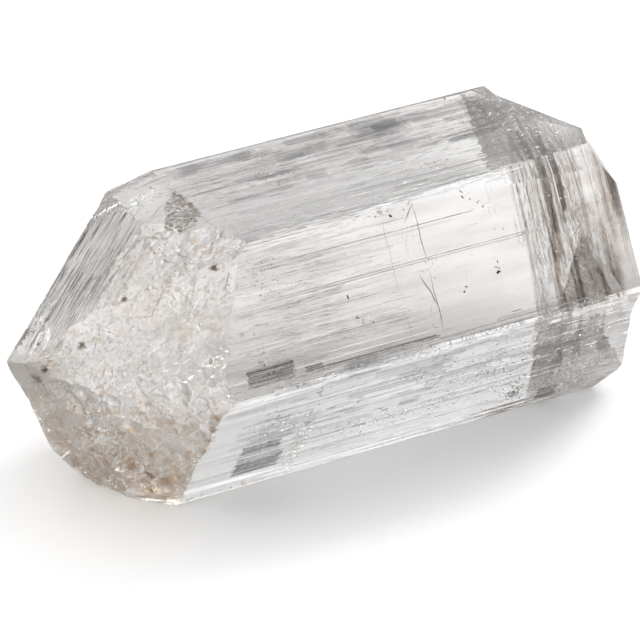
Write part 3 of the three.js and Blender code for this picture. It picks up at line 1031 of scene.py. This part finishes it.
def dark_panels(films, rng):
    """Each panel is a stack of long smooth films lying side by side along the prism, two to a strip."""
    for face, (x_low, x_high), (across_low, across_high), depth, count in PANELS:
        _, along, out = prism_frame(face)
        pitch = (across_high - across_low) / count
        for number in np.repeat(range(count), 2):
            length = (x_high - x_low) * rng.uniform(0.90, 1.05)
            x = (x_low + x_high) / 2 + rng.uniform(-0.03, 0.03) * length
            across = across_low + (number + rng.uniform(0.3, 0.7)) * pitch
            centre = under(face, x, across, depth + rng.uniform(-0.1, 0.1))
            films.add(centre, (1, 0, 0), along + out * rng.uniform(-0.1, 0.1), length,
                      pitch * rng.uniform(0.5, 1.0), FILM, rng.uniform(0.20, 0.85), square=True)


# ---- cracks and grains in the clear part
CRACK_DEPTH = 2.0
# Points (x, across) beneath the upper front face, then the thread's radius and its tone.
HAIR_CRACKS = (
    (((5.6, 0.4), (5.1, 1.0), (4.6, 1.7)), 0.035, 0.9),
    (((5.6, 0.4), (5.65, 2.0), (5.6, 3.3), (5.7, 4.7)), 0.035, 0.85),
    (((4.4, 1.8), (4.1, 2.7)), 0.025, 0.6),
    (((4.8, 1.9), (4.3, 3.3)), 0.025, 0.6),
    (((5.1, 2.0), (5.0, 3.0)), 0.025, 0.6),
    (((4.3, 2.9), (4.3, 4.1)), 0.025, 0.6),
    (((3.0, 0.6), (2.8, 2.1), (2.9, 3.4), (2.8, 4.9), (2.9, 6.7)), 0.016, 0.5),
    (((4.8, 5.7), (5.1, 6.5), (5.4, 7.1), (5.5, 7.7), (5.6, 8.1)), 0.04, 0.95),
    (((5.7, 5.6), (5.6, 7.0), (5.7, 8.1), (5.7, 9.1), (5.6, 10.1)), 0.035, 0.9),
    (((5.3, 7.8), (4.8, 8.9)), 0.03, 0.7),
    (((4.8, 9.2), (5.0, 9.7), (5.4, 9.75)), 0.025, 0.8),
    (((2.9, 7.9), (3.0, 9.1), (3.0, 9.85)), 0.03, 0.7),
    (((11.8, 0.8), (11.9, 1.6)), 0.025, 0.7),
    (((12.2, 0.85), (12.2, 1.35)), 0.025, 0.7),
    (((11.6, 2.1), (11.6, 2.7)), 0.025, 0.7),
    (((12.1, 2.3), (12.1, 2.7)), 0.025, 0.7),
)
# Grains beneath the upper front face: x, across, size.
GRAINS = (
    (2.8, 0.52, 0.30), (3.6, 0.88, 0.40), (9.8, 0.83, 0.26), (10.3, 1.17, 0.20), (10.9, 1.54, 0.22),
    (11.2, 1.92, 0.20), (-1.3, 5.83, 0.30), (-1.0, 7.42, 0.30), (-0.5, 7.70, 0.20), (0.0, 7.95, 0.16),
    (0.3, 8.10, 0.24), (8.3, 7.40, 0.26), (8.05, 7.75, 0.26), (8.5, 6.60, 0.12), (11.3, 6.20, 0.18),
    (11.2, 6.60, 0.28), (11.1, 6.85, 0.42), (11.7, 3.81, 0.12), (12.4, 3.96, 0.12),
)


def hair_cracks(cracks, _rng):
    """Single fine cracks that cross the clear part."""
    for line, radius, tone in HAIR_CRACKS:
        cracks.thread([under("front", x, across, CRACK_DEPTH) for x, across in line], radius, tone)


def grains(specks, rng):
    """Dark mineral grains, each a small cluster of three."""
    for x, across, size in np.repeat(GRAINS, 3, axis=0):
        centre = under("front", x, across, CRACK_DEPTH) + Vector(rng.normal(0, size * 0.22, 3))
        specks.add(centre, rng.normal(0, 1, 3), rng.normal(0, 1, 3), size * 0.8, size * 0.6, size * 0.4,
                   rng.uniform(0.45, 0.95))


# ---- the flat end's film and web
def flat_end_x(y, z):
    """How far along the flat end's surface lies, at one place across the crystal."""
    def nearer(names):
        """Where a line along X first leaves the planes of some facets."""
        found = []
        for name in names:
            out, _, _, reach = facet_plane(name)
            found.append((reach - out.y * y - out.z * (z - HEART.z)) / out.x)
        return min(found)
    return max(nearer(FLAT_END), nearer(SWELLING))


def end_place(rng, across, depth, inset):
    """A random place just inside the flat end: across the upper front face and beneath it, in mm."""
    corner, across_way, out = prism_frame("front")
    spot = corner + across_way * (FRONT_WIDTH - rng.uniform(*across)) - out * rng.uniform(*depth)
    return Vector((flat_end_x(spot.y, spot.z) - rng.uniform(*inset), spot.y, spot.z))


# The film near the flat end runs in columns, each a strip of depth beneath the upper front face: where it
# starts and stops, how far across it runs, how many panes make it, their width and tone, and how far it
# stands off the end, towards the upper front.
STAND_OFF_WAY = Vector((-0.26, -0.82, 0.51))
COLUMN_WAY = Vector((0, -0.5, -0.866))
FILM_COLUMNS = (
    ((19.2, 22.4), (-1.0, 11.5), 24, (0.3, 0.9), (0.15, 0.50), 1.0),
    ((13.0, 17.0), (5.0, 10.8), 30, (0.4, 1.0), (0.45, 0.85), 6.0),
    ((13.9, 18.0), (2.2, 5.0), 9, (0.3, 0.9), (0.15, 0.50), 3.0),
    ((14.4, 17.6), (-1.0, 2.2), 10, (0.5, 1.2), (0.35, 0.70), 3.0),
    ((10.5, 13.5), (2.0, 11.0), 14, (0.3, 0.9), (0.15, 0.40), 3.0),
    ((9.0, 11.5), (-1.0, 11.0), 14, (0.3, 0.8), (0.15, 0.45), 2.0),
    ((8.8, 9.1), (-1.0, 11.0), 7, (0.16, 0.28), (0.50, 0.8), 0.5),
    ((0.5, 8.6), (-1.0, 12.0), 9, (0.6, 1.8), (0.03, 0.18), 0.0),
    ((2.0, 18.0), (11.0, 18.0), 8, (0.6, 2.0), (0.03, 0.22), 0.0),
)
# Fine bright ridges over it: depth and across ranges, and how many.
WEB_PATCHES = (
    ((8.0, 20.0), (3.0, 7.0), 260),
    ((8.0, 20.0), (1.6, 3.8), 120),
    ((1.0, 22.0), (-4.0, 14.0), 130),
)
WEB_TURNS = (-1.05, -1.05, 0.52, 0.52, 0.9)


def end_film(film, rng):
    """The iron film inside the flat end: clear brown panes in columns, nearly black in two blocks."""
    for depth, across, panes, width, tone, off in FILM_COLUMNS:
        for _ in range(panes):
            centre = end_place(rng, across, depth, (0.2, 0.9)) + STAND_OFF_WAY * off
            axis = COLUMN_WAY + Vector((rng.normal(0, 0.02), rng.normal(0, 0.015), 0))
            film.add(centre, axis, (rng.normal(0, 0.05), 0.866, -0.5), film.between(2.0, 6.0),
                     film.between(*width), FILM, rng.uniform(*tone), square=True)


def end_web(web, rng):
    """Bright hairline ridges and cracks over the film of the flat end."""
    for depth, across, count in WEB_PATCHES:
        for _ in range(count):
            middle = end_place(rng, across, depth, (0.9, 1.3))
            turn = rng.choice(WEB_TURNS) + rng.normal(0, 0.15)
            step = Vector((0.0, math.cos(turn), math.sin(turn))) * web.between(0.08, 0.7)
            bend = Vector(rng.normal(0, 0.06, 3))
            web.thread([middle - step, middle + bend, middle + step], rng.uniform(0.010, 0.024),
                       rng.uniform(0.0, 0.2))


# ---- the point
# Films under the striated facet, dark ones and a few bright ones: how many, length, width and tone.
STRIATED_SETS = (
    (230, (2.0, 8.0), (0.04, 0.15), (0.5, 1.0)),
    (90, (0.3, 2.0), (0.03, 0.07), (0.0, 0.15)),
)
# Pits and iron specks: facet, a, b, radius of the dark core, and its tone.
PITS = (
    ("rolled_upper", -12.9, -6.3, 0.30, 0.85), ("fractured", -11.2, 6.1, 0.44, 1.00),
    ("turned_under", -8.8, -1.6, 0.58, 0.42), ("turned_under", -6.2, -2.9, 0.58, 0.40),
    ("turned_under", -1.2, 5.6, 0.43, 0.34), ("turned_under", -1.6, 4.2, 0.43, 0.32),
    ("turned_under", -2.0, 2.8, 0.43, 0.34), ("turned_under", -2.6, 1.4, 0.43, 0.32),
    ("frosted", -9.9, -7.7, 0.24, 0.80), ("striated", 14.4, -5.6, 0.12, 0.75),
    ("rolled", -1.0, 2.0, 0.23, 0.60), ("frosted", -7.5, -3.7, 0.20, 0.80),
    ("frosted", -1.2, 0.0, 0.26, 0.80), ("turned_under", -7.4, -2.4, 0.32, 0.70),
    ("turned_under", -7.0, 0.0, 0.22, 0.50),
)
PIT_FLECKS = 90
# Clusters of bright chips: facet, a, b, spread along a, spread along b, count.
SPARKLES = (
    ("frosted", -7.7, -6.2, 0.35, 0.70, 52), ("shoulder", -1.0, -4.0, 0.90, 0.30, 60),
    ("fractured", -9.0, 5.8, 0.70, 0.30, 40), ("frosted", -4.6, -8.6, 0.30, 1.20, 28),
    ("frosted", -3.6, -2.5, 1.00, 0.30, 32), ("fractured", -10.4, -0.4, 0.25, 0.25, 12),
    ("fractured", -7.3, -0.5, 0.25, 0.25, 12), ("turned_under", -3.5, 0.3, 0.30, 0.50, 28),
    ("bevel", -3.9, -7.5, 0.45, 0.75, 170),
)
BRIGHT_WAY = Vector((-0.25, -0.50, 0.83)).normalized()
# The brown patch's outline on the bevel, as (a, b).
PATCH = ((-2.7, -5.0), (-2.1, -6.3), (0.4, -7.8), (1.9, -7.3), (2.1, -6.1), (1.2, -5.0), (-1.0, -4.8))


def striated_films(films, rng):
    """Long dark films and a few bright ones, ruled parallel to the steps of the striated facet."""
    out, along, up, _ = facet_plane("striated")
    a_range, b_range = extents["striated"]
    for count, length, width, tone in STRIATED_SETS:
        for _ in range(count):
            centre = beneath("striated", rng.uniform(*a_range), rng.uniform(*b_range),
                             rng.uniform(0.15, 0.5))
            axis = along + up * rng.normal(0, 0.03)
            films.add(centre, axis, up + out * rng.uniform(-0.3, 0.3), films.between(*length),
                      rng.uniform(*width), FILM, rng.uniform(*tone))


def crazing(cracks, rng):
    """Fine cracks just inside the frosted faces: they make the point look like ground glass."""
    cracks.strew(skin(rng, FROSTED_ZONES, 5200, (0.05, 0.35)),
                 (0.10, 0.36), (0.06, 0.18), (0.0, 0.6), 0.4)


def low_share(z_range, x_range, least, most):
    """A share that grows from least, high up and away from the point, to least + most, low and near it."""
    return lambda spot: float(ramp(spot.z, *z_range) * ramp(spot.x, *x_range)) * most + least


def point_stain(stain, rng):
    """Rusty specks on the lower half of the point and under it, those near where it rests also there to
    deepen its shadow, and a few dark pits.
    """
    low = low_share((13.0, 4.0), (-8.0, -12.0), 0.06, 0.9)
    near_rest = low_share((3.5, 0.5), (-6.0, -10.0), 0.0, 1.0)
    stain.strew(skin(rng, FROSTED_ZONES, 240, (0.04, 0.30), low),
                (0.10, 0.36), (0.06, 0.20), (-0.12, 0.22), 0.3)
    stain.strew(skin(rng, HIDDEN_ZONES, 300, (0.05, 0.4), low),
                (0.20, 0.60), (0.15, 0.35), (0.0, 0.5), 0.3)
    # Dark specks near where the point rests: partly rust, partly put there to block light and deepen the
    # shadow under the point.
    stain.strew(skin(rng, ("bottom", "undercut", "hidden_lower"), 600, (0.05, 0.3), near_rest),
                (0.2, 0.7), (0.15, 0.4), (0.1, 0.7), 0.2)
    for facet, a, b, radius, tone in PITS:
        for _ in range(PIT_FLECKS):
            da, db = rng.normal(0, radius * 0.6, 2)
            off = math.hypot(da, db) / radius
            centre = beneath(facet, a + da, b + db, rng.uniform(0.04, 0.12))
            stain.lay(centre, facet_normal(facet), radius * 0.5, radius * 0.4,
                      tone - 0.35 * min(off, 1.2), 0.1)


def ochre_films(films, rng):
    """Clear ochre films just inside the lower half of the point."""
    low = low_share((12.0, 3.0), (-7.0, -12.0), 0.08, 0.92)
    films.strew(skin(rng, FROSTED_ZONES, 3600, (0.04, 0.40), low),
                (0.4, 1.8), (0.25, 0.9), (0.0, 0.22), 0.25)


def within(outline, a, b):
    """Whether (a, b) lies inside a closed outline."""
    crossings = 0
    for (a0, b0), (a1, b1) in zip(outline, outline[1:] + outline[:1]):
        if (b0 > b) != (b1 > b) and a < a0 + (b - b0) * (a1 - a0) / (b1 - b0):
            crossings += 1
    return crossings % 2 == 1


def brown_patch(patch, rng):
    """The dark ribbed patch where the bevel, the top face and the frosted face meet."""
    out, along, up, _ = facet_plane("bevel")
    for _ in range(1400):
        a = rng.uniform(-2.8, 2.2)
        b = rng.uniform(-7.8, -4.8)
        if not within(PATCH, a, b):
            continue
        centre = beneath("bevel", a, b, rng.uniform(0.12, 0.45))
        axis = along * 0.75 + up * 0.66 + out * rng.normal(0, 0.1)
        patch.add(centre, axis, out.cross(axis), patch.between(0.10, 0.45), patch.between(0.04, 0.10), FILM,
                  rng.uniform(0.30, 0.85))


def sparkles(chips, rng):
    """Chips and open cracks near the point that catch the light from overhead."""
    for facet, a, b, spread_a, spread_b, count in SPARKLES:
        for _ in range(count):
            centre = beneath(facet, a + rng.normal(0, spread_a), b + rng.normal(0, spread_b),
                             rng.uniform(0.08, 0.3))
            facing = (BRIGHT_WAY + Vector(rng.normal(0, 0.15, 3))).normalized()
            chips.strew([(centre, facing)], (0.25, 1.0), (0.06, 0.20), (0.0, 0.1), 0.1)


# ---- tufts and healed cracks
# Tufts of tiny open cracks beneath each prism face: x, across, their spreads, depth, count, size, tone.
TUFTS = {
    "lower_front": (
        (3.4, 0.9, (0.9, 0.25), (0.1, 0.5), 96, (0.13, 0.56), (0.0, 0.1)),
        (4.6, 4.3, (1.1, 0.5), (0.1, 0.5), 144, (0.13, 0.63), (0.0, 0.1)),
        (7.5, 5.2, (2.0, 1.0), (0.1, 0.6), 416, (0.10, 0.42), (0.0, 0.22)),
        (11.5, 6.0, (1.6, 1.8), (0.1, 0.6), 480, (0.10, 0.49), (0.0, 0.22)),
        (14.0, 9.5, (1.2, 1.6), (0.1, 0.6), 256, (0.10, 0.56), (0.0, 0.4)),
        (14.6, 11.6, (0.5, 0.6), (0.1, 0.6), 96, (0.20, 0.63), (0.6, 1.0)),
        (1.0, 9.5, (3.5, 0.6), (0.1, 0.6), 480, (0.08, 0.35), (0.0, 0.55)),
        (8.0, 9.0, (3.0, 1.2), (0.1, 0.6), 416, (0.08, 0.35), (0.0, 0.22)),
        (19.0, 6.5, (1.2, 3.2), (0.1, 0.6), 520, (0.10, 0.49), (0.0, 0.3)),
        (-8.4, 6.3, (0.8, 1.0), (0.1, 0.5), 224, (0.10, 0.49), (0.0, 0.22)),
        (-4.8, 9.0, (0.35, 3.2), (0.1, 0.6), 544, (0.10, 0.56), (0.0, 0.25)),
        (4.0, 0.3, (7.0, 0.14), (0.05, 0.3), 300, (0.10, 0.60), (0.0, 0.15)),
    ),
    "front": (
        (2.6, 0.45, (1.2, 0.15), (0.1, 0.4), 50, (0.08, 0.25), (0.0, 1.0)),
        (5.4, 5.2, (0.5, 0.4), (0.6, 1.6), 40, (0.06, 0.20), (0.2, 0.8)),
    ),
    "top": (
        (-2.6, 4.4, (1.2, 0.5), (0.1, 0.4), 60, (0.08, 0.40), (0.0, 0.2)),
        (2.6, 3.6, (1.0, 0.3), (0.1, 0.4), 40, (0.08, 0.35), (0.0, 0.2)),
        (8.6, 8.9, (1.1, 0.5), (0.1, 0.4), 70, (0.08, 0.40), (0.0, 0.2)),
        (13.0, 3.4, (2.6, 1.8), (0.1, 0.5), 260, (0.06, 0.25), (0.0, 0.22)),
        (17.6, 7.6, (1.2, 1.0), (0.1, 0.5), 160, (0.06, 0.25), (0.0, 0.22)),
        (19.0, 4.5, (2.0, 3.2), (0.1, 0.5), 520, (0.10, 0.50), (0.0, 0.25)),
    ),
}
# Flecks strewn over a sheet: the sheet's middle, its spread along its two directions and through it, its
# own normal, the way its flecks face, how many there are, their size and their tone.
UP = Vector((0, 0, 1))
LOWER, UPPER = LYING["lower_front"], LYING["front"]
VEILS = (
    ((-5.8, -9.2, 6.8), (3.4, 0.5, 0.12), (0.93, 0.30, -0.20), LOWER, 260, (0.10, 0.5), (0.0, 0.3)),
    ((-9.0, -10.6, 8.6), (0.9, 1.0, 0.3), (0.0, -0.87, -0.50), LOWER, 110, (0.10, 0.5), (0.0, 0.6)),
    ((-8.6, -8.6, 18.8), (1.0, 1.3, 0.25), (0.60, -0.60, 0.50), UPPER, 90, (0.08, 0.3), (0.0, 0.3)),
    ((-7.5, -8.2, 19.6), (0.7, 0.9, 0.2), (0.20, -0.80, 0.50), UPPER, 70, (0.06, 0.25), (0.0, 0.4)),
    ((4.5, -11.2, 10.2), (2.2, 0.5, 0.3), (0.0, -0.87, -0.50), LOWER, 90, (0.10, 0.5), (0.0, 0.3)),
    ((9.5, -9.0, 7.0), (3.0, 1.8, 0.5), (0.0, -0.87, -0.50), LOWER, 420, (0.06, 0.35), (0.0, 0.8)),
    ((18.5, -6.0, 14.0), (2.2, 2.6, 0.6), (0.80, -0.50, 0.30), UPPER, 160, (0.05, 0.22), (0.0, 0.3)),
    ((3.0, -4.5, 21.0), (2.6, 0.7, 0.2), (0.10, -0.30, 0.95), UP, 60, (0.08, 0.35), (0.0, 0.3)),
    ((-3.0, 3.0, 21.2), (2.0, 1.5, 0.2), (0.0, 0.0, 1.0), UP, 80, (0.08, 0.4), (0.0, 0.5)),
)


def tufts(films, rng):
    """Clusters of tiny open cracks and bubbles: white where open and grey where they are filled."""
    for face, rows in TUFTS.items():
        for x, across, (along_spread, across_spread), depth, count, size, tone in rows:
            for _ in range(count):
                centre = under(face, x + rng.normal(0, along_spread),
                               across + rng.normal(0, across_spread), rng.uniform(*depth))
                facing = (LYING[face] + Vector(rng.normal(0, 0.15, 3))).normalized()
                films.chip(centre, facing, size, (0.25, 0.7), tone, 0.3)


def healed_cracks(films, rng):
    """Sheets of tiny open flecks left where old cracks healed."""
    for middle, (other_spread, down_spread, thickness), sheet, facing, count, size, tone in VEILS:
        normal = Vector(sheet).normalized()
        steep = abs(normal.x) > 0.5
        down = normal.cross(Vector((0.1, 0.9, 0.3) if steep else (0.94, 0.2, 0.3))).normalized()
        other = normal.cross(down)
        for _ in range(count):
            centre = Vector(middle) + down * rng.normal(0, down_spread)
            centre = centre + other * rng.normal(0, other_spread) + normal * rng.normal(0, thickness)
            films.chip(centre, facing.normalized(), size, (0.3, 0.8), tone, 0.3)


FRACTURES, STAIN = "sealed_fractures", "iron_stain"
# The pieces in their order: what fills each, its random seed, its slot and its material.
PIECES = (
    (axial_streaks, 103, FRACTURES, CRACK_FILM),
    (painted_light_band, 116, FRACTURES, MIRROR_CHIP),
    (clear_panes, 113, FRACTURES, GREY_FILM),
    (striated_films, 112, FRACTURES, CRACK_FILM),
    (dark_panels, 106, FRACTURES, CRACK_FILM),
    (hair_cracks, 101, FRACTURES, CRACK_FILM),
    (grains, 102, STAIN, RUST),
    (end_film, 104, STAIN, IRON_FILM),
    (end_web, 105, FRACTURES, OPEN_CHIP),
    (crazing, 107, FRACTURES, CRAZING),
    (point_stain, 108, STAIN, RUST),
    (ochre_films, 115, STAIN, OCHRE_FILM),
    (brown_patch, 109, STAIN, RUST),
    (sparkles, 110, FRACTURES, MIRROR_CHIP),
    (tufts, 111, FRACTURES, MIRROR_CHIP),
    (healed_cracks, 111, FRACTURES, MIRROR_CHIP),
)
for fill, seed, slot, material in PIECES:
    flecks = Flecks(seed)
    fill(flecks, flecks.rng)
    flecks.piece(fill.__name__, slot, material)

# ---- stage, in metres
FLOOR_REACH = 4.0
FLOOR_DROP = 0.02 * MM
corners = [(x * FLOOR_REACH, y * FLOOR_REACH, -FLOOR_DROP) for x, y in ((-1, -1), (1, -1), (1, 1), (-1, 1))]
floor_mesh = bpy.data.meshes.new("floor")
floor_mesh.from_pydata(corners, [], [(0, 1, 2, 3)])
floor = link("floor", floor_mesh)
floor_material, floor_surface, floor_wiring = new_material("floor_white")
floor_wiring.feed(floor_surface, {"Base Color": (0.93, 0.93, 0.93, 1), "Roughness": 0.9,
                                  "Specular IOR Level": 0.1})
floor.data.materials.append(floor_material)

WORLD_STRENGTH = 1.51
# How bright the sky is, by the height of the direction from the horizon (0) to overhead (1).
SKY = ((0.0, 0.40), (0.17, 0.50), (0.33, 0.66), (0.52, 0.92), (1.0, 1.0))
NEAR_SIDE = (-0.9, 0.1)
NEAR_SIDE_LEVEL = 0.55


def studio_world():
    """Soft white all round: brightest overhead, greyer towards the horizon and on the near side."""
    world = bpy.data.worlds.new("studio")
    bpy.context.scene.world = world
    world.use_nodes = True
    wiring = Wiring(world.node_tree)
    split = wiring.add("SeparateXYZ", "Z", {"Vector": wiring.place("Generated")})
    height = wiring.ramp(split, [(position, (level,) * 3) for position, level in SKY])
    near = wiring.remap(split.node.outputs["Y"], NEAR_SIDE, (NEAR_SIDE_LEVEL, 1.0), "SMOOTHSTEP")
    level = wiring.maths("MULTIPLY", wiring.maths("MULTIPLY", height, near), WORLD_STRENGTH)
    wiring.feed(world.node_tree.nodes["Background"], {"Color": (1, 1, 1, 1), "Strength": level})


def aim(item, toward, distance, target=Vector()):
    """Puts a lamp or camera at distance from target, in the direction toward, looking at the target."""
    item.location = target + toward * distance
    item.rotation_euler = toward.to_track_quat("Z", "Y").to_euler()


studio_world()
LAMP_WAY = Vector((0.85, 0.30, 0.65)).normalized()
LAMP_DISTANCE = 0.8
lamp = bpy.data.lights.new("key_light", "AREA")
lamp.shape = "SQUARE"
lamp.size = 0.35
lamp.energy = 3.4
aim(link("key_light", lamp), LAMP_WAY, LAMP_DISTANCE)

AZIMUTH, ELEVATION = math.radians(-28.6), math.radians(30.0)
CAMERA_DISTANCE = 0.401
LOOK_AT = Vector((0.625, -1.12, 9.69)) * MM
camera_data = bpy.data.cameras.new("camera")
camera_data.lens = 300
camera_data.sensor_width = 36
camera_data.clip_start = 0.01
camera_data.clip_end = 20
camera = link("camera", camera_data)
toward = Vector((math.sin(AZIMUTH) * math.cos(ELEVATION), -math.cos(AZIMUTH) * math.cos(ELEVATION),
                 math.sin(ELEVATION)))
aim(camera, toward, CAMERA_DISTANCE, LOOK_AT)
bpy.context.scene.camera = camera

BOUNCES = 24
scene = bpy.context.scene
scene.view_settings.view_transform = "Standard"
scene.cycles.max_bounces = BOUNCES
scene.cycles.transmission_bounces = BOUNCES
scene.cycles.glossy_bounces = BOUNCES
